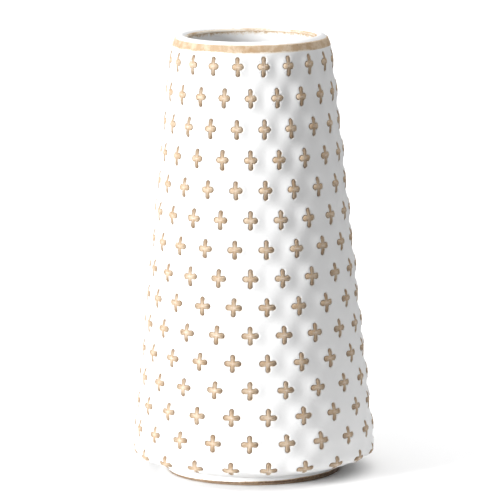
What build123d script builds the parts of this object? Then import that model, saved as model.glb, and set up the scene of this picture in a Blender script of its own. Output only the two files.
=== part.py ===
"""Tapered stoneware vase: luted clay body, three glaze coats and rows of bare clay crosses.

Millimetres, +Z up. The origin is the centre of the foot, on the surface that the vase stands on.
-Y is the front. Every piece is a turned section, apart from the crosses, which stand on the wall.
"""
from build123d import *
from math import asin, atan2, cos, degrees, hypot, radians, sin, tan
import os

# ---- driving dimensions, mm and degrees ----

height = 278.0             # floor to the crest of the lip

belly_radius = 76.4        # widest, where the wall meets the bottom corner
corner_radius = 7.0        # round between the wall and the underside
corner_lift = 5.5          # height of the belly over that of the foot, beyond corner_radius
shoulder_step = 2.6        # lip's outer edge out to the end of the straight taper
shoulder_drop = 12.0       # crest down to the end of the straight taper

mouth_radius = 40.3
mouth_round = 1.1          # width of the round at the inner edge
crest_step = 3.5           # mouth out to the highest line of the crown
lip_width = 8.0            # mouth out to the lip's outer edge
lip_edge_drop = 1.8        # crest down to the outer edge
edge_round = 0.9           # width and height of the round at the outer edge
inner_edge_drop = 1.2      # crest down to the inner edge of the lip glaze
band_width = 4.0           # bare clay band on the outside of the lip, measured up the axis
inner_band_drop = 2.6      # crest down to where the lining starts
lip_joint_drop = 8.0       # crest down to the joint between lip and wall

foot_inset = 21.7          # belly in to the bare side of the foot
foot_height = 5.0          # floor to the glazed underside at the foot
foot_width = 7.6
foot_round = 0.8
foot_bare = 1.5            # bare clay above the floor

glaze = 1.2                # outside coat
foot_glaze = 0.8           # coat on the sides of the foot
lining = 0.8               # inside coat
lip_coat = 0.9
wall = 4.8                 # clay behind the outside coat
floor = 7.0
inside_round = 9.0         # between the floor and the wall, inside
lip_blend = 34.0           # crest down to where the thick lip has run out inside the wall

floor_joint_step = 3.3     # foot out to the joint between floor and wall
lap = 2.0                  # width and height of the step in each luted joint

rows = 15
columns = 20
first_row_drop = 14.8      # crest down to the first row's centres
even_row_base = 14.0       # where evenly shrinking gaps would put the last row
last_row_height = 13.4
pitch_ratio = 0.835        # last gap between rows to the first one, before the last row's own height
pattern_turn = -0.5        # of the first row, to the right as seen from the front
row_lead = -0.12           # each row to the one above
cross_height_top = 12.4
cross_height_base = 10.8
cross_width_top = 7.2
cross_width_base = 10.7
full_width_row = 10        # first row, from 0 at the top, whose crosses have the full width
arm_top = 2.7
arm_base = 3.0
punch = 5.0                # reach of a cross punch to each side of the surface

# ---- what follows from them ----

lip_edge_radius = mouth_radius + lip_width
crest_radius = mouth_radius + crest_step
shoulder_radius = lip_edge_radius + shoulder_step
shoulder_z = height - shoulder_drop
belly_height = foot_height + corner_lift + corner_radius
foot_radius = belly_radius - foot_inset
floor_joint_radius = foot_radius + floor_joint_step

taper = degrees(atan2(belly_radius - shoulder_radius, shoulder_z - belly_height))
edge_z = height - lip_edge_drop - edge_round
band_z = edge_z - band_width
lip_joint_z = height - lip_joint_drop
foot_top_radius = foot_radius + foot_glaze

corner_centre = (belly_radius - corner_radius * cos(radians(taper)),
                 belly_height - corner_radius * sin(radians(taper)))
to_corner = (corner_centre[0] - foot_top_radius, corner_centre[1] - foot_height)
rise = degrees(atan2(to_corner[1], to_corner[0]) - asin(corner_radius / hypot(*to_corner)))

shoulder_chord = (shoulder_radius - lip_edge_radius, edge_z - shoulder_z)
shoulder_turn = 2 * (degrees(atan2(*shoulder_chord)) - taper)
shoulder_bend = hypot(*shoulder_chord) / (2 * sin(radians(shoulder_turn / 2)))
shoulder_centre = (shoulder_radius - shoulder_bend * cos(radians(taper)),
                   shoulder_z - shoulder_bend * sin(radians(taper)))


def around(centre, radius, angle):
    """The point of a circle at an angle from the outward direction."""
    return (centre[0] + radius * cos(radians(angle)), centre[1] + radius * sin(radians(angle)))


def shoulder_angle(inset, z):
    """Angle on the shoulder round, moved in by inset, at which it reaches height z."""
    return degrees(asin((z - shoulder_centre[1]) / (shoulder_bend - inset)))


def underside(inset, radius):
    """Height of the sloping underside, moved in by inset, at a radius."""
    return foot_height + (radius - foot_top_radius) * tan(radians(rise)) + inset / cos(radians(rise))


def body_line(inset, start_radius, top_z):
    """Outside of the body moved in by inset: underside, bottom corner, wall and shoulder."""
    corner = corner_radius - inset
    bend = shoulder_bend - inset
    corner_end = around(corner_centre, corner, taper)
    shoulder_start = around(shoulder_centre, bend, taper)
    Line((start_radius, underside(inset, start_radius)), around(corner_centre, corner, rise - 90))
    CenterArc(corner_centre, corner, rise - 90, 90 - rise + taper)
    Line(corner_end, shoulder_start)
    CenterArc(shoulder_centre, bend, taper, shoulder_angle(inset, top_z) - taper)
    return around(shoulder_centre, bend, shoulder_angle(inset, top_z))


def inside_radius(inset, z):
    """Radius of the inside of the wall, moved out by inset, at height z below the lip."""
    outside = belly_radius - (z - belly_height) * tan(radians(taper))
    return outside - (glaze + wall + lining - inset) / cos(radians(taper))


# ---- clay ----

clay_underside = underside(glaze, foot_radius)
floor_top = clay_underside + floor
blend_z = height - lip_blend
joint_outer = around(shoulder_centre, shoulder_bend - glaze, shoulder_angle(glaze, lip_joint_z))
lap_radius = mouth_radius + lining + (joint_outer[0] - mouth_radius - lining) / 2
floor_lap_z = underside(glaze, floor_joint_radius + lap) + lap

with BuildPart() as clay_wall:
    with BuildSketch(Plane.XZ):
        with BuildLine():
            body_line(glaze, floor_joint_radius, lip_joint_z)
            Polyline(
                joint_outer,
                (lap_radius, lip_joint_z),
                (lap_radius, lip_joint_z + lap),
                (mouth_radius + lining, lip_joint_z + lap),
                (mouth_radius + lining, lip_joint_z),
                (inside_radius(lining, blend_z), blend_z),
                (inside_radius(lining, floor_top), floor_top),
                (floor_joint_radius + lap, floor_top),
                (floor_joint_radius + lap, floor_lap_z),
                (floor_joint_radius, floor_lap_z),
                (floor_joint_radius, underside(glaze, floor_joint_radius)),
            )
        make_face()
    revolve(axis=Axis.Z)
    inner_corner = clay_wall.edges().filter_by(GeomType.CIRCLE).filter_by_position(
        Axis.Z, floor_top - 0.01, floor_top + 0.01).sort_by(SortBy.RADIUS)[-1]
    fillet(inner_corner, inside_round)

with BuildPart() as clay_floor:
    with BuildSketch(Plane.XZ):
        with BuildLine():
            Polyline(
                (0, clay_underside),
                (foot_radius, clay_underside),
                (floor_joint_radius, underside(glaze, floor_joint_radius)),
                (floor_joint_radius, floor_lap_z),
                (floor_joint_radius + lap, floor_lap_z),
                (floor_joint_radius + lap, floor_top),
                (0, floor_top),
                close=True,
            )
        make_face()
    revolve(axis=Axis.Z)

with BuildPart() as foot_ring:
    with BuildSketch(Plane.XZ):
        with Locations((foot_radius - foot_width / 2, clay_underside / 2)):
            Rectangle(foot_width, clay_underside)
    revolve(axis=Axis.Z)
    fillet(foot_ring.edges().group_by(Axis.Z)[0], foot_round)

edge_out = (lip_edge_radius, edge_z)
edge_in = (lip_edge_radius - edge_round, edge_z + edge_round)
crest = (crest_radius, height)
inner_edge = (mouth_radius + mouth_round, height - inner_edge_drop)
lining_top = (mouth_radius, height - inner_band_drop)


def lower(point):
    """A point of the lip's crown, moved down by the coat on it."""
    return (point[0], point[1] - lip_coat)


with BuildPart() as lip_ring:
    band_start = around(shoulder_centre, shoulder_bend, shoulder_angle(0, band_z))
    coat_start = around(shoulder_centre, shoulder_bend - glaze, shoulder_angle(glaze, band_z))
    with BuildSketch(Plane.XZ):
        with BuildLine():
            CenterArc(shoulder_centre, shoulder_bend - glaze, shoulder_angle(glaze, lip_joint_z),
                      shoulder_angle(glaze, band_z) - shoulder_angle(glaze, lip_joint_z))
            Line(coat_start, band_start)
            CenterArc(shoulder_centre, shoulder_bend, shoulder_angle(0, band_z),
                      shoulder_angle(0, edge_z) - shoulder_angle(0, band_z))
            RadiusArc(edge_out, edge_in, -edge_round)
            Line(edge_in, lower(edge_in))
            ThreePointArc(lower(edge_in), lower(crest), lower(inner_edge))
            Line(lower(inner_edge), inner_edge)
            RadiusArc(inner_edge, lining_top, -2 * mouth_round)
            Polyline(
                lining_top,
                (mouth_radius + lining, lining_top[1]),
                (mouth_radius + lining, lip_joint_z + lap),
                (lap_radius, lip_joint_z + lap),
                (lap_radius, lip_joint_z),
                joint_outer,
            )
        make_face()
    revolve(axis=Axis.Z)

# ---- glaze ----

with BuildPart() as lip_glaze:
    with BuildSketch(Plane.XZ):
        with BuildLine():
            ThreePointArc(edge_in, crest, inner_edge)
            Line(inner_edge, lower(inner_edge))
            ThreePointArc(lower(inner_edge), lower(crest), lower(edge_in))
            Line(lower(edge_in), edge_in)
        make_face()
    revolve(axis=Axis.Z)

with BuildPart() as inner_glaze:
    with BuildSketch(Plane.XZ):
        with BuildLine():
            Polyline(
                (0, floor_top),
                (inside_radius(lining, floor_top), floor_top),
                (inside_radius(lining, blend_z), blend_z),
                (mouth_radius + lining, lip_joint_z),
                (mouth_radius + lining, lining_top[1]),
                lining_top,
                (mouth_radius, lip_joint_z),
                (inside_radius(0, blend_z), blend_z),
                (inside_radius(0, floor_top + lining), floor_top + lining),
                (0, floor_top + lining),
                close=True,
            )
        make_face()
    revolve(axis=Axis.Z)
    lining_corners = inner_glaze.edges().filter_by(GeomType.CIRCLE).filter_by_position(
        Axis.Z, floor_top - 0.01, floor_top + lining + 0.01).sort_by(Axis.Z)
    fillet(lining_corners[0], inside_round)
    fillet(lining_corners[-1], inside_round - lining)

with BuildPart() as base_glaze:
    recess = foot_radius - foot_width
    with BuildSketch(Plane.XZ):
        with BuildLine():
            Polyline(
                (0, clay_underside),
                (recess, clay_underside),
                (recess, foot_bare),
                (recess - foot_glaze, foot_bare),
                (recess - foot_glaze, clay_underside - glaze),
                (0, clay_underside - glaze),
                close=True,
            )
        make_face()
    revolve(axis=Axis.Z)

with BuildPart() as outside_coat:
    with BuildSketch(Plane.XZ):
        with BuildLine():
            outer_top = body_line(0, foot_top_radius, band_z)
            Line(outer_top, coat_start)
            body_line(glaze, foot_radius, band_z)
            Polyline(
                (foot_radius, underside(glaze, foot_radius)),
                (foot_radius, foot_bare),
                (foot_top_radius, foot_bare),
                (foot_top_radius, foot_height),
            )
        make_face()
    revolve(axis=Axis.Z)

# ---- crosses, and the windows that they leave in the outside coat ----

first_row_z = height - first_row_drop
first_gap = (first_row_z - even_row_base) / ((rows - 1) * (1 + pitch_ratio) / 2)
gap_step = first_gap * (1 - pitch_ratio) / (rows - 2)


def row_height(row):
    """Height of a row's centres: each gap is shorter than the one above by gap_step."""
    if row == rows - 1:
        return last_row_height
    return first_row_z - row * first_gap + gap_step * row * (row - 1) / 2


def between(top, base, row):
    """A size that changes evenly from the first row to the last."""
    return top + (base - top) * row / (rows - 1)


def cross_width(row):
    """Width of a row's crosses: an S-curve down to full_width_row, then even."""
    share = min(row / full_width_row, 1)
    return cross_width_top + (cross_width_base - cross_width_top) * share * share * (3 - 2 * share)


def cross_planes(row):
    """Planes of one row's crosses, flat on the surface, with their Y up the wall."""
    z = row_height(row)
    if z < belly_height:
        tilt = degrees(asin((z - corner_centre[1]) / corner_radius))
        radius = corner_centre[0] + corner_radius * cos(radians(tilt))
    else:
        tilt = taper
        radius = belly_radius - (z - belly_height) * tan(radians(taper))
    stagger = 0.5 * ((row + 1) % 2)
    planes = []
    for column in range(columns):
        bearing = radians((column + stagger) * 360 / columns + pattern_turn + row * row_lead - 90)
        outward = Vector(cos(bearing), sin(bearing), 0)
        planes.append(Plane(
            origin=outward * radius + Vector(0, 0, z),
            x_dir=(-sin(bearing), cos(bearing), 0),
            z_dir=outward * cos(radians(tilt)) + Vector(0, 0, sin(radians(tilt))),
        ))
    return planes


os.makedirs("parts", exist_ok=True)
punches = []
for row in range(rows):
    with BuildPart() as row_punch:
        with BuildSketch(*cross_planes(row)):
            arm = between(arm_top, arm_base, row)
            Rectangle(arm, between(cross_height_top, cross_height_base, row))
            Rectangle(cross_width(row), arm)
        extrude(amount=punch, both=True)
    punches.append(row_punch.part)
    with BuildPart() as cross_row:
        add(outside_coat.part)
        add(row_punch.part, mode=Mode.INTERSECT)
    cross_row.part.label = f"cross_row_{row + 1:02d}"
    export_step(cross_row.part, f"parts/{cross_row.part.label}.step")

with BuildPart() as outer_glaze:
    add(outside_coat.part)
    add(punches, mode=Mode.SUBTRACT)

# ---- names and files ----

pieces = {
    "clay_wall": clay_wall,
    "clay_floor": clay_floor,
    "foot_ring": foot_ring,
    "lip_ring": lip_ring,
    "lip_glaze": lip_glaze,
    "inner_glaze": inner_glaze,
    "base_glaze": base_glaze,
    "outer_glaze": outer_glaze,
}
for label, piece in pieces.items():
    piece.part.label = label
    export_step(piece.part, f"parts/{label}.step")
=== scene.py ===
"""Tapered stoneware vase with rows of bare clay crosses: its finish, and a plain studio round it."""
import math

import bmesh
import bpy
import numpy as np
from bpy.props import FloatProperty, FloatVectorProperty, IntProperty, PointerProperty
from bpy.types import Operator, Panel, PropertyGroup
from mathutils import Matrix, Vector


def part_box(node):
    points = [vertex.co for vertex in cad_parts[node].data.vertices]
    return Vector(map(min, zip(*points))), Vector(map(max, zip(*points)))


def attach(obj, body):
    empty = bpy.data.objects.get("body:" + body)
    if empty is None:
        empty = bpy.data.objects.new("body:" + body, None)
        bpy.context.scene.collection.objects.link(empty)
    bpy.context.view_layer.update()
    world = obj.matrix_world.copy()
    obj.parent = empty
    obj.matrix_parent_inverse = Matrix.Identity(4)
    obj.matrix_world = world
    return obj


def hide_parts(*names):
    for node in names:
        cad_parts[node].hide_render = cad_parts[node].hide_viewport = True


bl_info = {
    "name": "Stoneware Vase",
    "version": (1, 0, 0),
    "blender": (4, 5, 0),
    "location": "View3D > Sidebar > Vase",
    "description": "Builds the glaze, clay crosses, lip, lining and foot of a tapered stoneware vase",
    "category": "Add Mesh",
}

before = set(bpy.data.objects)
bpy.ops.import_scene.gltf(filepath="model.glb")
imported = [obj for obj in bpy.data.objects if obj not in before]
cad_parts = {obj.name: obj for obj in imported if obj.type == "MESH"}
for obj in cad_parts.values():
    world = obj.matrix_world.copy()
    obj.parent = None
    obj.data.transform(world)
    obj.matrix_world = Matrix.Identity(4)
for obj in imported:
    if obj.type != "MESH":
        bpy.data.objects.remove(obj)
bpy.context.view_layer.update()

MM = 0.001
ROWS = sum(name.startswith("cross_row_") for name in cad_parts)
LIP_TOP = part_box("lip_glaze")[1].z
FOOT_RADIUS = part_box("foot_ring")[1].x
CLAY_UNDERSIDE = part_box("foot_ring")[1].z
FLOOR_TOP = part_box("clay_floor")[1].z
SEED = 7  # of the crosses' small differences in size
WELD = 2e-6  # points nearer than this, in metres, become one
SLIVER = 1e-7  # edges shorter than this, in metres, go
TABLE_CORNERS = ((-15, -15), (15, -15), (15, 15), (-15, 15))
PAPER_CORNERS = ((-2.0, -0.16), (0.175, -0.16), (0.6, 6.0), (-4.0, 6.0))
LIT_SIDE = (0.5, 0.86, 0.0)  # the room is brighter this way, behind the vase and to the right


def linear(hex_colour):
    """A linear RGB colour from an sRGB hex one."""
    parts = [int(hex_colour[i:i + 2], 16) / 255 for i in (1, 3, 5)]
    return tuple(p / 12.92 if p <= 0.04045 else ((p + 0.055) / 1.055) ** 2.4 for p in parts)


def length(name, description, default_mm, low_mm=0.0, high_mm=400.0):
    """A length property that is written here in millimetres and kept in metres."""
    return FloatProperty(name=name, description=description, default=default_mm * MM,
                         min=low_mm * MM, max=high_mm * MM, unit="LENGTH", precision=5)


def colour(name, description, hex_colour):
    """A colour property from an sRGB hex default."""
    return FloatVectorProperty(name=name, description=description, subtype="COLOR",
                               size=3, min=0.0, max=1.0, default=linear(hex_colour))


# ---- what a user would change ----

class VaseForm(PropertyGroup):
    """Sizes of the turned body. Heights are from the floor, drops from the crest of the lip."""

    belly_radius: length("Belly radius", "Where the straight wall meets the bottom round", 76.4)
    belly_height: length("Belly height", "Height of the widest place", 17.5)
    corner: length("Bottom round", "Radius between the wall and the underside", 7.0)
    shoulder_radius: length("Shoulder radius", "Where the straight wall ends", 50.9)
    shoulder_drop: length("Shoulder drop", "Crest down to the end of the wall", 12.0)
    edge_radius: length("Lip radius", "Outer edge of the lip", 48.3)
    edge_drop: length("Lip edge drop", "Crest down to the outer edge of the lip", 2.7)
    edge_round: length("Lip edge round", "Round at the outer edge", 0.9)
    band: length("Bare band", "Height of the bare band under the lip's edge", 4.0)
    mouth_radius: length("Mouth radius", "Narrowest inside the lip", 40.3)
    mouth_round: length("Mouth round", "Width of the round at the inner edge", 1.1)
    inner_drop: length("Inner edge drop", "Crest down to the inner edge of the crown", 1.2)
    lining_drop: length("Lining drop", "Crest down to where the lining starts", 2.6)
    crest_radius: length("Crest radius", "Highest line of the crown", 43.8)
    lip_joint_drop: length("Lip joint drop", "Crest down to the joint with the wall", 8.0)
    coat: length("Glaze", "Thickness of the outside coat", 1.2)
    lip_coat: length("Crown glaze", "Thickness of the coat on the crown", 0.9)
    lining: length("Lining", "Thickness of the inside coat", 0.8)
    wall: length("Wall", "Thickness of the clay wall", 4.8)
    inside_round: length("Inside round", "Between the floor and the wall", 9.0)
    blend_drop: length("Lip blend drop", "Crest down to where the thick lip runs out", 34.0)
    foot_height: length("Foot height", "Floor to the underside at the foot", 5.0)
    foot_coat: length("Foot glaze", "Thickness of the coat on the foot", 0.8)
    foot_bare: length("Bare foot", "Bare clay at the bottom of the foot", 1.5)
    foot_runs: length("Uneven wipe", "How much higher the foot is wiped bare on one side", 2.4)
    foot_width: length("Foot width", "Width of the foot ring", 7.6)
    foot_round: length("Foot round", "Round of the foot's bottom edges", 0.8)


class VasePattern(PropertyGroup):
    """The staggered crosses and the soft bumps that they stand on."""

    columns: IntProperty(name="Crosses in a row", description="Crosses round the vase",
                         default=20, min=3, max=60)
    last_row: length("Last row", "Height of the last row's centres", 13.4)
    turn: FloatProperty(name="Turn", description="Of the first row, to the right of the front",
                        default=math.radians(-0.5), unit="ROTATION")
    lead: FloatProperty(name="Lead", description="Turn of each row against the one above",
                        default=math.radians(-0.12), unit="ROTATION")
    tall_top: length("Height, top row", "Height of a cross in the top row", 12.5)
    tall_base: length("Height, bottom row", "Height of a cross in the bottom row", 11.0)
    wide_top: length("Width, top row", "Width of a cross in the top row", 7.2)
    wide_base: length("Width, bottom row", "Width of a cross in the bottom row", 10.8)
    upright_top: length("Upright arm, top row", "Half width of an upright arm", 1.25)
    upright_base: length("Upright arm, bottom row", "Half width of an upright arm", 1.5)
    side_top: length("Side arm, top row", "Half width of a side arm", 2.0)
    side_base: length("Side arm, bottom row", "Half width of a side arm", 1.6)
    neck: FloatProperty(name="Neck", description="Width of an arm at the middle, of its widest",
                        default=0.84, min=0.3, max=1.0)
    uneven: FloatProperty(name="Unevenness", description="Spread of the crosses' sizes",
                          default=0.025, min=0.0, max=0.2)
    peak: length("Bump", "How far a bump stands above the middle surface", 0.6)
    valley: length("Dip", "How far the glaze dips between bumps", 1.0)
    dome: length("Dome", "How far a cross swells above the bump", 0.22)
    groove: length("Groove", "Depth of the glaze's rolled edge at a cross", 0.5)


class VaseFinish(PropertyGroup):
    """Colours of the glaze and the fired clay."""

    glaze: colour("Glaze", "Opaque white glaze where it lies thick", "#EEEEEE")
    glaze_thin: colour("Thin glaze", "White glaze with the clay just showing", "#E4DCCF")
    clay: colour("Clay", "Bare stoneware", "#BA9F80")
    clay_pale: colour("Pale clay", "Lighter patches of bare stoneware", "#CFBBA2")
    clay_toasted: colour("Toasted clay", "Patches that the flame turned golden brown", "#A98357")
    # Dark brown: the iron line where glaze ends on clay, and also painted shade on the crosses' tips and
    # rims and low on the foot
    rust_and_shade_brown: colour("Rusty clay", "Iron-brown line where glaze ends on clay", "#614730")
    wash: colour("Glaze wash", "Milky glaze film left in the heart of a cross", "#E4D6CC")
    floor: colour("Paper", "White paper under the vase", "#FAFAFA")
    table: colour("Table", "Pale grey table round the paper", "#A8A8A8")


class VaseStudio(PropertyGroup):
    """Camera and light."""

    distance: FloatProperty(name="Camera distance", description="From the vase's axis",
                            default=2.85, unit="LENGTH")
    eye_height: FloatProperty(name="Camera height", description="Above the floor",
                              default=0.604, unit="LENGTH")
    pitch: FloatProperty(name="Camera pitch", description="Below the horizon",
                         default=math.radians(9.25), unit="ROTATION")
    roll: FloatProperty(name="Camera roll", description="Clockwise as seen from behind",
                        default=math.radians(0.4), unit="ROTATION")
    shift: FloatProperty(name="Lens shift", description="Sideways, as a share of the frame",
                         default=-0.0036)
    lens: FloatProperty(name="Lens", description="Focal length", default=327.2, unit="CAMERA")
    key: FloatProperty(name="Key light", description="Strength of the window light", default=4.0)
    key_spread: FloatProperty(name="Key spread", description="Angle that the key light fills",
                              default=math.radians(16.0), unit="ROTATION")
    key_height: FloatProperty(name="Key height", description="Of the key light above the horizon",
                              default=math.radians(13.0), unit="ROTATION")
    key_bearing: FloatProperty(name="Key bearing", description="To the left of the front",
                               default=math.radians(56.0), unit="ROTATION")
    top: FloatProperty(name="Top light", description="Strength of the wide overhead light", default=3.2)
    top_spread: FloatProperty(name="Top spread", description="Angle that the overhead light fills",
                              default=math.radians(95.0), unit="ROTATION")
    fill: FloatProperty(name="Fill", description="Brightness of the room at the front", default=0.06)
    back: FloatProperty(name="Back", description="Brightness of the white wall behind", default=0.22)


# ---- the body's outside line ----

class Skin:
    """Outside of the body as a line of arc length, from the lip's edge down to the foot.

    Four stretches meet without a kink: the shoulder round, the straight wall, the bottom round
    and the sloping underside. The outward direction leans by an angle above level that changes
    evenly along each round and keeps still along each straight.
    """

    def __init__(self, form):
        shoulder_z = LIP_TOP - form.shoulder_drop
        self.corner = form.corner
        self.taper = math.atan2(form.belly_radius - form.shoulder_radius, shoulder_z - form.belly_height)
        self.wall_start = (form.shoulder_radius, shoulder_z)
        self.corner_centre = (form.belly_radius - form.corner * math.cos(self.taper),
                              form.belly_height - form.corner * math.sin(self.taper))
        self.foot = (FOOT_RADIUS + form.foot_coat, form.foot_height)
        reach = [c - f for c, f in zip(self.corner_centre, self.foot)]
        self.rise = math.atan2(reach[1], reach[0]) - math.asin(form.corner / math.hypot(*reach))
        chord = (form.shoulder_radius - form.edge_radius, LIP_TOP - form.edge_drop - shoulder_z)
        bend = 2 * (math.atan2(*chord) - self.taper)
        self.bend_radius = math.hypot(*chord) / (2 * math.sin(bend / 2))
        self.bend_centre = (form.shoulder_radius - self.bend_radius * math.cos(self.taper),
                            shoulder_z - self.bend_radius * math.sin(self.taper))
        wall = math.hypot(form.belly_radius - form.shoulder_radius, shoulder_z - form.belly_height)
        turn = self.taper + math.pi / 2 - self.rise
        tail = math.sqrt(math.hypot(*reach) ** 2 - form.corner ** 2)
        self.stops = np.cumsum([0.0, self.bend_radius * bend, wall, form.corner * turn, tail])
        self.leans = [self.taper + bend, self.taper, self.taper,
                      self.rise - math.pi / 2, self.rise - math.pi / 2]

    def at(self, s):
        """Radius, height and lean at arc length s, as arrays."""
        s = np.asarray(s, float)
        lean = np.interp(s, self.stops, self.leans)
        run = s - self.stops[1]
        tail = self.stops[4] - s
        where = [s < self.stops[1], s < self.stops[2], s < self.stops[3]]
        radius = np.select(where, [
            self.bend_centre[0] + self.bend_radius * np.cos(lean),
            self.wall_start[0] + run * math.sin(self.taper),
            self.corner_centre[0] + self.corner * np.cos(lean),
        ], self.foot[0] + tail * math.cos(self.rise))
        height = np.select(where, [
            self.bend_centre[1] + self.bend_radius * np.sin(lean),
            self.wall_start[1] - run * math.cos(self.taper),
            self.corner_centre[1] + self.corner * np.sin(lean),
        ], self.foot[1] + tail * math.sin(self.rise))
        return radius, height, lean

    def length_at(self, z):
        """Arc length at which the line passes height z."""
        s = np.linspace(0, self.stops[-1], 4001)
        return np.interp(-np.asarray(z), -self.at(s)[1], s)

    def point(self, theta, s, out):
        """Points at bearing theta, arc length s and distance out along the outward direction.

        The bearing is zero at the front, and grows to the right as seen from the front.
        """
        radius, height, lean = self.at(s)
        radius = radius + out * np.cos(lean)
        height = height + out * np.sin(lean)
        return np.stack([radius * np.sin(theta), -radius * np.cos(theta), height + 0 * theta], -1)


# ---- the pattern ----

class Lattice:
    """Places of the crosses in bearing and arc length, and the bumps under them."""

    def __init__(self, form, pattern, skin):
        boxes = [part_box(f"cross_row_{row + 1:02d}") for row in range(ROWS)]
        self.skin = skin
        self.pattern = pattern
        heights = [(low.z + high.z) / 2 for low, high in boxes[:-1]]
        self.rows = skin.length_at([*heights, pattern.last_row])
        self.pitch = 2 * math.pi / pattern.columns
        self.top = skin.length_at(LIP_TOP - form.edge_drop - form.band)
        gap = self.rows[-1] - self.rows[-2]
        middle = (self.rows[1:] + self.rows[:-1]) / 2
        self.edges = np.concatenate([[self.top], middle, [self.rows[-1] + 0.45 * gap]])
        row = np.arange(ROWS)[:, None]
        self.bearings = (np.arange(pattern.columns) + 0.5 * ((row + 1) % 2)) * self.pitch
        spread = np.random.default_rng(SEED).normal(0, 1, (3, ROWS, pattern.columns)).clip(-2, 2)
        self.scale_tall = 1 + pattern.uneven * spread[0]
        self.scale_wide = 1 + pattern.uneven * spread[1]
        self.tilt = pattern.uneven * spread[2]

    def twist(self, s):
        """Turn of the whole pattern at arc length s."""
        return np.interp(s, self.rows, self.pattern.turn + self.pattern.lead * np.arange(ROWS))

    def bump(self, bearing, s):
        """Height of the bumps: the product and the double of two cosines, which peaks at each cross.

        The bumps fade out towards the bare band and on the underside, and a slow uneven wave
        from the potter's hand is added.
        """
        order = np.interp(s, self.rows, np.arange(ROWS))
        step = np.diff(self.rows)
        order = order + np.minimum(s - self.rows[0], 0) / step[0]
        order = order + np.maximum(s - self.rows[-1], 0) / step[-1]
        across = np.cos(self.pattern.columns * bearing)
        along = np.cos(np.pi * order)
        shape = (1 + 2 * (-2 * across * along + np.cos(2 * np.pi * order)) / 3) / 3
        shape = np.clip(shape, 0, 1) ** 0.9
        height = shape * (self.pattern.peak + self.pattern.valley) - self.pattern.valley
        fade = smooth((s - self.top) / (5 * MM)) * smooth((self.edges[-1] + 2 * MM - s) / (6 * MM))
        hand = (np.sin(3 * bearing + 40 * s) + np.sin(2 * bearing - 63 * s + 1)
                + np.sin(5 * bearing + 95 * s))
        return fade * (height + 0.06 * MM * hand)

    def sizes(self):
        """Half height, half width and arm half widths of each row's crosses."""
        share = (np.arange(ROWS) / (ROWS - 1))[:, None]
        p = self.pattern
        tall = (p.tall_top + (p.tall_base - p.tall_top) * share ** 1.3) / 2 * self.scale_tall
        wide = (p.wide_top + (p.wide_base - p.wide_top) * smooth(1.4 * share)) / 2 * self.scale_wide
        upright = p.upright_top + (p.upright_base - p.upright_top) * share + 0 * tall
        side = p.side_top + (p.side_base - p.side_top) * share + 0 * tall
        return tall, wide, upright, side

    def outline(self, grow, steps, mids):
        """Outlines of all crosses, as (row, column, point, across and up).

        Each arm is a straight stretch from the inner corner to a half round end. The points run
        from the right arm's lower corner anticlockwise. steps is the number of chords of an end,
        mids that of extra points along each side of an upright arm. grow moves the line outwards.
        """
        tall, wide, upright, side = self.sizes()
        neck = self.pattern.neck
        corner_x = upright * neck + grow
        corner_y = side * neck + grow
        arms = []
        for reach, half, along, across, extra in (
            (wide, side, corner_x, corner_y, 0),
            (tall, upright, corner_y, corner_x, mids),
        ):
            turn = np.linspace(-np.pi / 2, np.pi / 2, steps + 1)
            half = half + grow
            reach = reach + grow
            end = np.stack([(reach - half)[..., None] + half[..., None] * np.cos(turn),
                            half[..., None] * np.sin(turn)], -1)
            start = np.stack([along, -across], -1)[..., None, :]
            share = (np.arange(extra + 1) / (extra + 1))[:, None]
            first = start + (end[..., :1, :] - start) * share
            mirrored = first[..., :0:-1, :] * (1, -1)
            arms.append(np.concatenate([first, end, mirrored], -2))
        right, top = arms
        loop = np.concatenate([
            right,
            np.stack([-top[..., 1], top[..., 0]], -1),
            -right,
            np.stack([top[..., 1], -top[..., 0]], -1),
        ], -2)
        turned = loop[..., ::-1] * (-1, 1) * np.tan(self.tilt)[..., None, None]
        return loop + turned

    def spread(self, loop):
        """Bearing from the cross's centre, and arc length, of outline points."""
        radius = self.skin.at(self.rows)[0][:, None, None]
        return loop[..., 0] / radius, self.rows[:, None, None] - loop[..., 1]

    def tile_edge(self, rise_steps, run_steps):
        """The edge of each cross's tile, as (row, 1, point): bearing from the centre, arc length.

        It starts at the lower right corner and runs up, left, down and back to the right.
        """
        up = np.arange(rise_steps) / rise_steps
        along = np.arange(run_steps) / run_steps
        flat = np.zeros(rise_steps)
        bearing = self.pitch * np.concatenate([flat + 0.5, 0.5 - along, flat - 0.5, along - 0.5])
        share = np.concatenate([up, 0 * along + 1, 1 - up, 0 * along])
        low, high = self.edges[1:, None], self.edges[:-1, None]
        return bearing + 0 * low[:, None], (low + (high - low) * share)[:, None]


def smooth(x):
    """Zero below 0, one above 1, and a smooth rise between."""
    x = np.clip(x, 0, 1)
    return x * x * (3 - 2 * x)


# ---- meshes ----

def ring_faces(base, rings, count):
    """Quads between closed rings of count points that follow each other from index base."""
    ring, k = np.meshgrid(np.arange(rings - 1), np.arange(count), indexing="ij")
    after = (k + 1) % count
    quads = np.stack([ring * count + k, (ring + 1) * count + k,
                      (ring + 1) * count + after, ring * count + after], -1)
    return base + quads.reshape(-1, 4)


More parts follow.
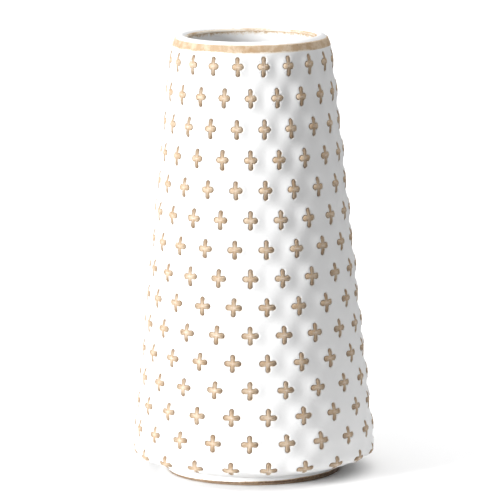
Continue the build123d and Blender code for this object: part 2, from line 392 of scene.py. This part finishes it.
def make_piece(name, points, faces, attributes, sharp=50.0):
    """A closed mesh object from points and faces, with doubles merged and normals outwards."""
    mesh = bpy.data.meshes.new(name)
    mesh.from_pydata(points.reshape(-1, 3).tolist(), [], faces)
    for label, values in attributes.items():
        layer = mesh.attributes.new(label, "FLOAT", "POINT")
        layer.data.foreach_set("value", np.asarray(values, np.float32).ravel())
    work = bmesh.new()
    work.from_mesh(mesh)
    bmesh.ops.remove_doubles(work, verts=work.verts, dist=WELD)
    bmesh.ops.dissolve_degenerate(work, edges=work.edges, dist=SLIVER)
    bmesh.ops.recalc_face_normals(work, faces=work.faces)
    work.to_mesh(mesh)
    work.free()
    mesh.shade_smooth()
    mesh.set_sharp_from_angle(angle=math.radians(sharp))
    piece = bpy.data.objects.new(name, mesh)
    bpy.context.scene.collection.objects.link(piece)
    return piece


def turned(name, profile, thin, segments=240):
    """A turned piece: a closed profile of radius and height, carried round the axis.

    Each profile point becomes a ring, and rings on the axis close to a point.
    """
    profile = np.asarray(profile, float)
    theta = np.arange(segments) * 2 * np.pi / segments
    points = np.stack([
        profile[:, :1] * np.sin(theta),
        -profile[:, :1] * np.cos(theta),
        profile[:, 1:] + 0 * theta,
    ], -1)
    points = np.concatenate([points, points[:1]])
    faces = ring_faces(0, len(points), segments)
    values = np.repeat(np.append(thin, thin[0]), segments)
    return make_piece(name, points, faces.tolist(), {"thin": values})


def arc(centre, radius, start, stop, count):
    """Points of a circle from one angle to another, both in degrees above level."""
    angle = np.radians(np.linspace(start, stop, count))
    return np.stack([centre[0] + radius * np.cos(angle), centre[1] + radius * np.sin(angle)], -1)


def finish_piece(piece, material, slot, *nodes):
    """Gives a piece its material, hides the CAD nodes that it stands for and hangs it under the root
    body. The slot is not used.
    """
    piece.data.materials.clear()
    piece.data.materials.append(material)
    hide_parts(*nodes)
    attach(piece, "root")


# ---- materials ----

def add_node(tree, kind, inputs=None, **settings):
    """Adds a node with its settings, and fills or links its inputs."""
    made = tree.nodes.new(kind)
    for name, value in settings.items():
        setattr(made, name, value)
    for key, value in (inputs or {}).items():
        if isinstance(value, bpy.types.NodeSocket):
            tree.links.new(value, made.inputs[key])
        else:
            made.inputs[key].default_value = value
    return made


def per_mm(size):
    """Scale of a pattern in Object coordinates whose features are size millimetres wide."""
    return 1 / (size * MM)


def solid(colour_value):
    """A colour with full alpha."""
    return (*colour_value, 1.0)


def start_material(name):
    """A material with its tree, its shader and the Object coordinates."""
    material = bpy.data.materials.new(name)
    material.use_nodes = True
    tree = material.node_tree
    shader = tree.nodes["Principled BSDF"]
    place = add_node(tree, "ShaderNodeTexCoord").outputs["Object"]
    return material, tree, shader, place


def blend_colours(tree, factor, first, second):
    """A mix of two colours, each a value or a socket."""
    mixed = add_node(tree, "ShaderNodeMix", {0: factor, 6: first, 7: second}, data_type="RGBA")
    return mixed.outputs[2]


def ramp(tree, value, low, high):
    """A smooth step of a value from 0 at low to 1 at high."""
    made = add_node(tree, "ShaderNodeMapRange",
                    {"Value": value, "From Min": low, "From Max": high},
                    interpolation_type="SMOOTHSTEP")
    return made.outputs["Result"]


def noise(tree, place, size, detail=3.0, rough=0.55):
    """Cloudy noise whose blotches are size millimetres wide."""
    made = add_node(tree, "ShaderNodeTexNoise",
                    {"Vector": place, "Scale": per_mm(size), "Detail": detail, "Roughness": rough})
    return made.outputs["Fac"]


def satin_white_glaze(finish):
    """Opaque tin-white glaze, sprayed and fired to a satin sheen.

    It is even, with faint cloudy changes of thickness, a fine orange peel, and a warmer, slightly
    broken tone where it thins out towards bare clay, going dark brown where it is wiped away:
    the iron line at its edge, and low on the foot painted shade under the belly.
    """
    material, tree, shader, place = start_material("satin_white_glaze")
    cloud = noise(tree, place, 30.0)
    thick = blend_colours(tree, ramp(tree, cloud, 0.35, 0.75), solid(finish.glaze),
                          solid([0.97 * c for c in finish.glaze]))
    thin = add_node(tree, "ShaderNodeAttribute", attribute_name="thin").outputs["Fac"]
    broken = add_node(tree, "ShaderNodeMath", {0: noise(tree, place, 2.2), 1: 0.9}, operation="SUBTRACT")
    reach = add_node(tree, "ShaderNodeMath", {0: thin, 1: broken.outputs[0]}, operation="ADD")
    edge = ramp(tree, reach.outputs[0], 0.05, 0.5)
    warm = blend_colours(tree, ramp(tree, reach.outputs[0], 0.25, 0.62), solid(finish.glaze_thin),
                         solid(finish.clay))
    # Dark brown where the glaze is wiped away: the iron line at its edge, and on the foot painted shade
    # under the belly
    warm = blend_colours(tree, ramp(tree, reach.outputs[0], 0.65, 1.3), warm, solid(finish.rust_and_shade_brown))
    tree.links.new(blend_colours(tree, edge, thick, warm), shader.inputs["Base Color"])
    shader.inputs["Roughness"].default_value = 0.42
    shader.inputs["IOR"].default_value = 1.5
    peel = add_node(tree, "ShaderNodeBump",
                    {"Height": noise(tree, place, 2.8, 2.0), "Strength": 0.12, "Distance": 0.1 * MM})
    tree.links.new(peel.outputs["Normal"], shader.inputs["Normal"])
    return material


def bare_stoneware(finish):
    """Tan stoneware, wiped clean of glaze and left matt by the kiln, and darkened towards the foot by
    painted contact shade under the belly.

    It has iron flecks and blotches, and a broken milky film where a thin smear of glaze was left.
    """
    material, tree, shader, place = start_material("bare_stoneware")
    blotch = ramp(tree, noise(tree, place, 5.0, 4.0, 0.6), 0.38, 0.66)
    body = blend_colours(tree, blotch, solid(finish.clay), solid(finish.clay_pale))
    flecks = ramp(tree, noise(tree, place, 0.8, 2.0), 0.6, 0.72)
    body = blend_colours(tree, flecks, body, solid([0.7 * c for c in finish.clay]))
    toasted = ramp(tree, noise(tree, place, 22.0, 4.0, 0.7), 0.5, 0.72)
    body = blend_colours(tree, toasted, body, solid(finish.clay_toasted))
    height = add_node(tree, "ShaderNodeSeparateXYZ", {0: place}).outputs["Z"]
    # Darker brown in the lowest centimetre: painted contact shade under the belly, laid over the bare
    # clay's colour
    body = blend_colours(tree, ramp(tree, height, 10 * MM, -6 * MM), body, solid(finish.rust_and_shade_brown))
    thin = add_node(tree, "ShaderNodeAttribute", attribute_name="thin").outputs["Fac"]
    patch = ramp(tree, noise(tree, place, 30.0, 2.0), 0.4, 0.6)
    broken = add_node(tree, "ShaderNodeMath", {0: patch, 1: 0.8, 2: 0.6}, operation="MULTIPLY_ADD")
    reach = add_node(tree, "ShaderNodeMath", {0: thin, 1: broken.outputs[0], 2: noise(tree, place, 2.2)},
                     operation="MULTIPLY_ADD")
    film = ramp(tree, reach.outputs[0], 0.9, 1.45)
    tree.links.new(blend_colours(tree, film, body, solid(finish.glaze_thin)),
                   shader.inputs["Base Color"])
    shader.inputs["Roughness"].default_value = 0.72
    grit = add_node(tree, "ShaderNodeBump",
                    {"Height": noise(tree, place, 0.9), "Strength": 0.35, "Distance": 0.15 * MM})
    tree.links.new(grit.outputs["Normal"], shader.inputs["Normal"])
    return material


def cross_clay(finish):
    """Bare clay of the crosses: tan with a milky wash in the heart, painted shade towards the arm tips,
    and a dark brown rim, partly iron line and partly painted shade of the groove.
    """
    material, tree, shader, place = start_material("cross_clay")
    blotch = ramp(tree, noise(tree, place, 3.0, 4.0, 0.6), 0.36, 0.66)
    body = blend_colours(tree, blotch, solid(finish.clay), solid(finish.clay_pale))
    heart = add_node(tree, "ShaderNodeAttribute", attribute_name="heart").outputs["Fac"]
    patchy = add_node(tree, "ShaderNodeMath", {0: noise(tree, place, 24.0), 1: noise(tree, place, 2.0)})
    milky = add_node(tree, "ShaderNodeMath", {0: patchy.outputs[0], 1: heart}, operation="MULTIPLY")
    body = blend_colours(tree, ramp(tree, milky.outputs[0], 0.35, 1.3), body, solid(finish.wash))
    # Darker towards the arm tips: painted shade of the domed lobes turning away from the light
    tip = add_node(tree, "ShaderNodeAttribute", attribute_name="tip").outputs["Fac"]
    painted_tip_shade = add_node(tree, "ShaderNodeMath", {0: tip, 1: 0.55}, operation="MULTIPLY")
    body = blend_colours(tree, painted_tip_shade.outputs[0], body, solid(finish.rust_and_shade_brown))
    # Dark brown round each cross's rim: partly the iron line where the glaze ends, partly painted shade
    # of the groove between glaze and clay
    rim = add_node(tree, "ShaderNodeAttribute", attribute_name="rim").outputs["Fac"]
    jitter = add_node(tree, "ShaderNodeMath", {0: noise(tree, place, 1.4), 1: 0.5}, operation="SUBTRACT")
    reach = add_node(tree, "ShaderNodeMath", {0: rim, 1: jitter.outputs[0]}, operation="ADD")
    tree.links.new(blend_colours(tree, ramp(tree, reach.outputs[0], 0.45, 1.0), body,
                                 solid(finish.rust_and_shade_brown)), shader.inputs["Base Color"])
    shader.inputs["Roughness"].default_value = 0.6
    grit = add_node(tree, "ShaderNodeBump",
                    {"Height": noise(tree, place, 0.8), "Strength": 0.3, "Distance": 0.12 * MM})
    tree.links.new(grit.outputs["Normal"], shader.inputs["Normal"])
    return material


def studio_paper(paper, name):
    """Matt paper or board, with a barely visible mottle."""
    material, tree, shader, place = start_material(name)
    mottle = noise(tree, place, 400.0)
    tree.links.new(blend_colours(tree, mottle, solid(paper), solid([0.99 * c for c in paper])),
                   shader.inputs["Base Color"])
    shader.inputs["Roughness"].default_value = 0.9
    return material


def shared(name, maker, finish):
    """The material of that name, made the first time that it is asked for."""
    return bpy.data.materials.get(name) or maker(finish)


# ---- pieces ----

class VASE_OT_outer_glaze(Operator):
    """Build the outside coat: bumps, and a rolled edge round each cross"""

    bl_idname = "vase.outer_glaze"
    bl_label = "Outer glaze"

    def execute(self, context):
        form, pattern = context.scene.vase_form, context.scene.vase_pattern
        skin = Skin(form)
        lattice = Lattice(form, pattern, skin)
        steps, mids = 6, 1
        rise, run = steps + 2, steps + 2 + 2 * mids  # a tile's edge has as many points as a cross
        edge_bearing, edge_s = lattice.tile_edge(rise, run)
        # Millimetres out from the cross, share of the way to the tile's edge, groove depths, thinness.
        outer = (
            (0.0, 0.0, -1.0, 1.0),
            (0.25, 0.0, -0.25, 0.9),
            (0.65, 0.0, 0.1, 0.55),
            (0.65, 0.22, 0.0, 0.2),
            (0.65, 0.48, 0.0, 0.0),
            (0.65, 0.74, 0.0, 0.0),
            (0.65, 1.0, 0.0, 0.0),
        )
        rings, thin = [], []

        def add_ring(grow, share, sink, out, thinness):
            bearing, s = lattice.spread(lattice.outline(grow * MM, steps, mids))
            bearing = bearing + (edge_bearing - bearing) * share
            s = s + (edge_s - s) * share
            pattern_bearing = lattice.bearings[..., None] + bearing
            if out is None:
                out = lattice.bump(pattern_bearing, s) + sink * pattern.groove
            rings.append(skin.point(pattern_bearing + lattice.twist(s), s, out))
            near_band = 1 - smooth((s - lattice.top) / (2.5 * MM))
            thin.append(np.maximum(0.8 * thinness, 0.5 * near_band))

        add_ring(0.0, 1.0, 0.0, -form.coat, 0.0)
        add_ring(0.0, 0.0, 0.0, -form.coat, 1.0)
        for grow, share, sink, thinness in outer:
            add_ring(grow, share, sink, None, thinness)
        count = rings[0].shape[2]
        grid = np.stack(rings, 2)
        faces = ring_faces(0, len(rings), count)
        tiles = np.arange(ROWS * pattern.columns)[:, None, None] * len(rings) * count
        faces = (faces + tiles).reshape(-1, 4)
        thin = np.stack(thin, 2).ravel()
        points = grid.reshape(-1, 3)

        around = np.arange(pattern.columns * run) * lattice.pitch / run + lattice.pitch / 2
        rim = np.array([-form.coat, 0.0])[:, None]
        top = skin.point(around + lattice.twist(lattice.top), lattice.top + 0 * rim, rim)
        end, last = lattice.edges[-1], skin.stops[-1]
        s = np.linspace(end, last, 8)[:, None]
        tail_bearing = around + lattice.twist(end)
        bump = lattice.bump(around, s[:-1])
        tail = skin.point(tail_bearing, s[:-1], bump)
        foot_out = FOOT_RADIUS + form.foot_coat
        side = np.linspace(form.foot_height - 0.4 * MM, form.foot_bare + 0.4 * MM, 5)
        foot = np.array([
            (foot_out + 0.1 * MM, form.foot_height + 0.02 * MM),
            *((foot_out, z) for z in side),
            (foot_out - 0.3 * MM, form.foot_bare),
            (FOOT_RADIUS, form.foot_bare),
            (FOOT_RADIUS, CLAY_UNDERSIDE - 0.1 * MM),
        ])
        wiped = form.foot_bare + form.foot_runs * (1 + np.sin(tail_bearing)) / 2
        # Where the foot is wiped bare the glaze also goes dark brown, which is painted shade under the
        # belly
        foot_thin = 1.6 * smooth(0.5 + (wiped - foot[:, 1:]) / (0.8 * MM))
        foot = np.stack([foot[:, :1] * np.sin(tail_bearing), -foot[:, :1] * np.cos(tail_bearing),
                         foot[:, 1:] + 0 * tail_bearing], -1)
        back = skin.point(tail_bearing, s[::-7], -form.coat + 0 * s[::-7])
        hem = np.concatenate([tail, foot, back])
        top_thin = np.full(top.shape[:2], 0.5)
        hem_thin = np.concatenate([0 * tail[..., 0], foot_thin, 0 * back[..., 0]])
        for strip, thinness in ((top, top_thin), (hem, hem_thin)):
            strip_faces = ring_faces(len(points), len(strip), strip.shape[1])
            points = np.concatenate([points, strip.reshape(-1, 3)])
            faces = np.concatenate([faces, strip_faces])
            thin = np.concatenate([thin, thinness.ravel()])
        piece = make_piece("outer_glaze_coat", points, faces.tolist(), {"thin": thin})
        finish_piece(piece, shared("satin_white_glaze", satin_white_glaze, context.scene.vase_finish),
                     "outside_glaze", "outer_glaze")
        return {"FINISHED"}


class VASE_OT_crosses(Operator):
    """Build the clay crosses, a row to each piece, as low domes with four lobes"""

    bl_idname = "vase.crosses"
    bl_label = "Clay crosses"

    def execute(self, context):
        form, pattern = context.scene.vase_form, context.scene.vase_pattern
        skin = Skin(form)
        lattice = Lattice(form, pattern, skin)
        # Millimetres out from the cross, place from the skin or lift from the bump, and rim: the mask of
        # the dark rim line, partly painted shade of the groove.
        layers = (
            (0.1, -form.coat + 0.05 * MM, None, 1.0),
            (0.1, None, -1.15 * pattern.groove, 1.0),
            (-0.75, None, pattern.dome, 0.0),
        )
        rings, rim, tips = [], [], []
        for grow, out, lift, rimness in layers:
            loop = lattice.outline(grow * MM, 4, 0)
            reach = np.hypot(loop[..., 0], loop[..., 1])
            # How near each point is to an arm's tip: the mask of the painted shade on the tips
            tips.append(smooth(2 * reach / reach.max(-1, keepdims=True) - 1))
            bearing, s = lattice.spread(loop)
            pattern_bearing = lattice.bearings[..., None] + bearing
            if out is None:
                out = lattice.bump(pattern_bearing, s) + lift
            rings.append(skin.point(pattern_bearing + lattice.twist(s), s, out))
            rim.append(rimness + 0 * s)
        centre_s = lattice.rows[:, None] + 0 * lattice.bearings
        centre_out = lattice.bump(lattice.bearings, centre_s) + 0.2 * pattern.dome
        centre = skin.point(lattice.bearings + lattice.twist(centre_s), centre_s, centre_out)
        count = rings[0].shape[2]
        material = shared("cross_clay", cross_clay, context.scene.vase_finish)
        k = np.arange(count)
        hub = len(rings) * count
        fan = np.stack([hub + 0 * k, (len(rings) - 1) * count + k,
                        (len(rings) - 1) * count + (k + 1) % count], -1)
        each = ring_faces(0, len(rings), count)[:, ::-1]
        for row in range(ROWS):
            grid = np.stack([r[row] for r in rings], 1).reshape(pattern.columns, -1, 3)
            points = np.concatenate([grid, centre[row][:, None]], 1)
            edge = np.stack([r[row] for r in rim], 1).reshape(pattern.columns, -1)
            edge = np.concatenate([edge, np.zeros((pattern.columns, 1))], 1)
            tip = np.stack([t[row] for t in tips], 1).reshape(pattern.columns, -1)
            tip = np.concatenate([tip, np.zeros((pattern.columns, 1))], 1)
            heart = np.zeros_like(edge)
            heart[:, -1] = 1.0
            faces = []
            for first in range(0, pattern.columns * (hub + 1), hub + 1):
                faces += (each + first).tolist() + (fan + first).tolist()
                faces.append((np.arange(count)[::-1] + first).tolist())
            piece = make_piece(f"clay_crosses_{row + 1:02d}", points, faces,
                               {"rim": edge, "tip": tip, "heart": heart}, sharp=80.0)
            finish_piece(piece, material, "bare_crosses", f"cross_row_{row + 1:02d}")
        return {"FINISHED"}


def crown(form, lower, count):
    """The lip's crown from its outer to its inner edge, moved down by lower.

    It falls from the crest with the square of the distance, faster on the inner side.
    """
    out, inner = form.edge_radius - form.edge_round, form.mouth_radius + form.mouth_round
    radius = np.linspace(out, inner, count)
    past = radius - form.crest_radius
    outer_fall = (form.edge_drop - form.edge_round) * (past / (out - form.crest_radius)) ** 2
    inner_fall = form.inner_drop * (past / (form.crest_radius - inner)) ** 2
    fall = np.where(past > 0, outer_fall, inner_fall)
    return np.stack([radius, LIP_TOP - fall - lower], -1)


class VASE_OT_lip(Operator):
    """Build the lip: the clay ring with its two bare edges, and the glaze on its crown"""

    bl_idname = "vase.lip"
    bl_label = "Lip"

    def execute(self, context):
        form, finish = context.scene.vase_form, context.scene.vase_finish
        skin = Skin(form)
        joint_z = LIP_TOP - form.lip_joint_drop
        band_s = skin.length_at(LIP_TOP - form.edge_drop - form.band)
        joint_s = skin.length_at(joint_z)

        def line(s, out):
            radius, height, lean = skin.at(s)
            return np.stack([radius + out * np.cos(lean), height + out * np.sin(lean)], -1)

        inner_edge = (form.mouth_radius + form.mouth_round, LIP_TOP - form.inner_drop)
        throat = np.linspace(0, 90, 5)
        fall = form.lining_drop - form.inner_drop
        bare_inner = np.stack([inner_edge[0] - form.mouth_round * np.sin(np.radians(throat)),
                               inner_edge[1] - fall * (1 - np.cos(np.radians(throat)))], -1)
        lining_radius = form.mouth_radius + form.lining
        edge_round = arc((form.edge_radius - form.edge_round, LIP_TOP - form.edge_drop),
                         form.edge_round, 0, 90, 5)
        parts = [
            (line(np.array([joint_s, band_s]), -form.coat), [0, 0]),
            (line(np.linspace(band_s, 0, 7), 0.0), [1.0, 0.55, 0.15, 0, 0, 0, 0]),
            (edge_round[1:], [0, 0.2, 0.7, 1.0]),
            (crown(form, form.lip_coat, 9), [0] * 9),
            (bare_inner, [1.0, 0.78, 0.78, 1.0, 1.0]),
            (np.array([(lining_radius, LIP_TOP - form.lining_drop), (lining_radius, joint_z)]), [0, 0]),
        ]
        profile = np.concatenate([p for p, _ in parts])
        thin = np.concatenate([t for _, t in parts])
        ring = turned("lip_clay", profile, thin)
        finish_piece(ring, shared("bare_stoneware", bare_stoneware, finish),
                     "stoneware_body", "lip_ring")

        upper = crown(form, 0.0, 17)
        lower = crown(form, form.lip_coat, 9)[::-1]
        thin = np.concatenate([[0.9, 0.35], np.zeros(13), [0.35, 0.9], np.zeros(9)])
        coat = turned("lip_crown_glaze", np.concatenate([upper, lower]), thin)
        finish_piece(coat, shared("satin_white_glaze", satin_white_glaze, finish),
                     "outside_glaze", "lip_glaze")
        return {"FINISHED"}


def inside_radius(form, out, z):
    """Radius of the inside of the wall, moved out, at height z: parallel to the straight wall."""
    taper = Skin(form).taper
    outside = form.belly_radius - (z - form.belly_height) * math.tan(taper)
    return outside - (form.coat + form.wall + form.lining - out) / math.cos(taper)


class VASE_OT_lining(Operator):
    """Build the glaze lining from the mouth down the wall and over the floor"""

    bl_idname = "vase.lining"
    bl_label = "Lining"

    def execute(self, context):
        form = context.scene.vase_form
        taper = math.degrees(Skin(form).taper)

        def side(out):
            """Mouth, throat, wall, bottom round and floor centre, moved out by out."""
            blend_z = LIP_TOP - form.blend_drop
            floor_z = FLOOR_TOP + form.lining - out
            bend = form.inside_round - form.lining + out
            centre_z = floor_z + bend
            reach = bend / math.cos(math.radians(taper))
            centre = (inside_radius(form, out, centre_z) - reach, centre_z)
            throat = np.array([(form.mouth_radius + out, LIP_TOP - form.lining_drop),
                               (form.mouth_radius + out, LIP_TOP - form.lip_joint_drop)])
            share = np.linspace(0, 1, 7)[1:, None]
            blend_end = np.array([inside_radius(form, out, blend_z), blend_z])
            blend = throat[1:] + (blend_end - throat[1:]) * share
            low = arc(centre, bend, taper, -90, 9)
            wall = np.linspace(blend[-1], low[0], 26)[1:-1]
            floor = np.linspace(low[-1], (0.0, floor_z), 12)[1:]
            return np.concatenate([throat, blend, wall, low, floor])

        profile = np.concatenate([side(0.0), side(form.lining)[::-1]])
        thin = np.zeros(len(profile))
        thin[0] = 1.0
        piece = turned("lining_glaze", profile, thin, segments=160)
        finish_piece(piece, shared("satin_white_glaze", satin_white_glaze, context.scene.vase_finish),
                     "inside_glaze", "inner_glaze")
        return {"FINISHED"}


class VASE_OT_foot(Operator):
    """Build the foot ring with its rounded bottom edges, and dress the hidden pieces"""

    bl_idname = "vase.foot"
    bl_label = "Foot and hidden clay"

    def execute(self, context):
        form, finish = context.scene.vase_form, context.scene.vase_finish
        bend = form.foot_round
        inner = FOOT_RADIUS - form.foot_width
        profile = np.concatenate([
            [(FOOT_RADIUS, CLAY_UNDERSIDE)],
            arc((FOOT_RADIUS - bend, bend), bend, 0, -90, 5),
            arc((inner + bend, bend), bend, -90, -180, 5),
            [(inner, CLAY_UNDERSIDE)],
        ])
        thin = np.zeros(len(profile))
        thin[1] = 0.3
        clay = shared("bare_stoneware", bare_stoneware, finish)
        foot = turned("foot_clay", profile, thin)
        finish_piece(foot, clay, "stoneware_body", "foot_ring")
        for node, material in (("clay_wall", clay), ("clay_floor", clay),
                               ("base_glaze", shared("satin_white_glaze", satin_white_glaze, finish))):
            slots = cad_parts[node].data.materials
            slots.clear()
            slots.append(material)
        return {"FINISHED"}


def flat(name, corners, z):
    """A level sheet with the given corners at height z."""
    mesh = bpy.data.meshes.new(name)
    mesh.from_pydata([(x, y, z) for x, y in corners], [], [tuple(range(len(corners)))])
    sheet = bpy.data.objects.new(name, mesh)
    bpy.context.scene.collection.objects.link(sheet)
    return sheet


def sun(name, strength, spread, elevation, bearing):
    """A wide sun that shines from an elevation, and a bearing to the left of the front."""
    light = bpy.data.lights.new(name, "SUN")
    light.energy = strength
    light.angle = spread
    lamp = bpy.data.objects.new(name, light)
    lamp.rotation_euler = (math.pi / 2 - elevation, 0.0, -bearing)
    bpy.context.scene.collection.objects.link(lamp)


class VASE_OT_stage(Operator):
    """Lay the white paper, light it from the left and from above, and set the camera"""

    bl_idname = "vase.stage"
    bl_label = "Studio"

    def execute(self, context):
        studio, finish = context.scene.vase_studio, context.scene.vase_finish
        table = flat("studio_table", TABLE_CORNERS, -0.5 * MM)
        table.data.materials.append(studio_paper(finish.table, "grey_table"))
        paper = flat("studio_paper", PAPER_CORNERS, 0.0)
        paper.data.materials.append(studio_paper(finish.floor, "white_paper"))

        world = bpy.data.worlds.new("studio_room")
        world.use_nodes = True
        context.scene.world = world
        tree = world.node_tree
        background = tree.nodes["Background"]
        background.inputs["Color"].default_value = (0.98, 0.99, 1.0, 1.0)
        facing = add_node(tree, "ShaderNodeVectorMath",
                          {0: add_node(tree, "ShaderNodeTexCoord").outputs["Generated"], 1: LIT_SIDE},
                          operation="DOT_PRODUCT")
        strength = add_node(tree, "ShaderNodeMapRange",
                            {"Value": facing.outputs["Value"], "From Min": 0.0, "From Max": 0.9,
                             "To Min": studio.fill, "To Max": studio.back})
        tree.links.new(strength.outputs["Result"], background.inputs["Strength"])

        sun("key_light", studio.key, studio.key_spread, studio.key_height, studio.key_bearing)
        sun("top_light", studio.top, studio.top_spread, math.pi / 2, 0.0)

        camera = bpy.data.cameras.new("camera")
        camera.lens = studio.lens
        camera.shift_x = studio.shift
        camera.clip_end = 60.0
        eye = bpy.data.objects.new("camera", camera)
        eye.matrix_world = (Matrix.Translation((0.0, -studio.distance, studio.eye_height))
                            @ Matrix.Rotation(math.pi / 2 - studio.pitch, 4, "X")
                            @ Matrix.Rotation(-studio.roll, 4, "Z"))
        context.scene.collection.objects.link(eye)
        context.scene.camera = eye
        context.scene.view_settings.view_transform = "Standard"
        return {"FINISHED"}


class VASE_PT_builder(Panel):
    """Lists the pieces and their sizes."""

    bl_label = "Stoneware vase"
    bl_idname = "VASE_PT_builder"
    bl_space_type = "VIEW_3D"
    bl_region_type = "UI"
    bl_category = "Vase"

    def draw(self, context):
        for operator in PIECES:
            self.layout.operator(operator.bl_idname)
        for group in GROUPS:
            box = self.layout.box()
            values = getattr(context.scene, group)
            for name in values.__annotations__:
                box.prop(values, name)


GROUPS = {"vase_form": VaseForm, "vase_pattern": VasePattern,
          "vase_finish": VaseFinish, "vase_studio": VaseStudio}
PIECES = (VASE_OT_outer_glaze, VASE_OT_crosses, VASE_OT_lip, VASE_OT_lining, VASE_OT_foot,
          VASE_OT_stage)


def register():
    """Registers the classes and puts the property groups on the scene."""
    for group, kind in GROUPS.items():
        bpy.utils.register_class(kind)
        setattr(bpy.types.Scene, group, PointerProperty(type=kind))
    for kind in (*PIECES, VASE_PT_builder):
        bpy.utils.register_class(kind)


def unregister():
    """Takes everything that register added away again."""
    for kind in (VASE_PT_builder, *reversed(PIECES)):
        bpy.utils.unregister_class(kind)
    for group, kind in reversed(GROUPS.items()):
        delattr(bpy.types.Scene, group)
        bpy.utils.unregister_class(kind)


def main():
    register()
    bpy.ops.vase.outer_glaze()
    bpy.ops.vase.crosses()
    bpy.ops.vase.lip()
    bpy.ops.vase.lining()
    bpy.ops.vase.foot()
    bpy.ops.vase.stage()


if __name__ == "__main__":
    main()
